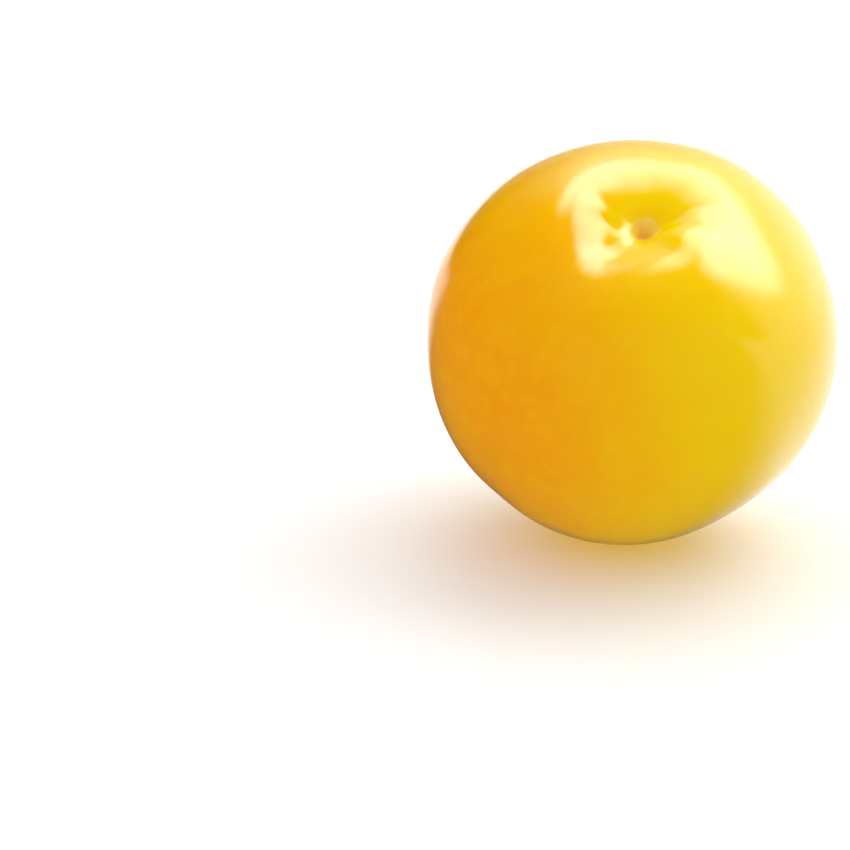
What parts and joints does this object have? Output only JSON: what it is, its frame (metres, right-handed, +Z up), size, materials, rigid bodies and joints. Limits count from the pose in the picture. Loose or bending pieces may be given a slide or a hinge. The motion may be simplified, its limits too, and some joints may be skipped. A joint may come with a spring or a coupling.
{
  "type": "plum",
  "caption": "Ripe golden-yellow plum, whole, without its stalk, lying tilted on a small flat spot; the stalk's hollow opens at one end and a shallow seam runs down one side.",
  "frame": {"origin": "middle of the flat spot on which the fruit rests, at the level of the surface", "axes": "+Z up; the end with the stalk's hollow leans towards -Y and slightly towards +X; the seam is on the side towards -X and -Y"},
  "size_m": [0.0518, 0.0524, 0.052],
  "materials": {
    "skin": "smooth waxy fruit skin with a soft gloss"
  },
  "bodies": {
    "root": {"plum": "skin"}
  },
  "joints": []
}
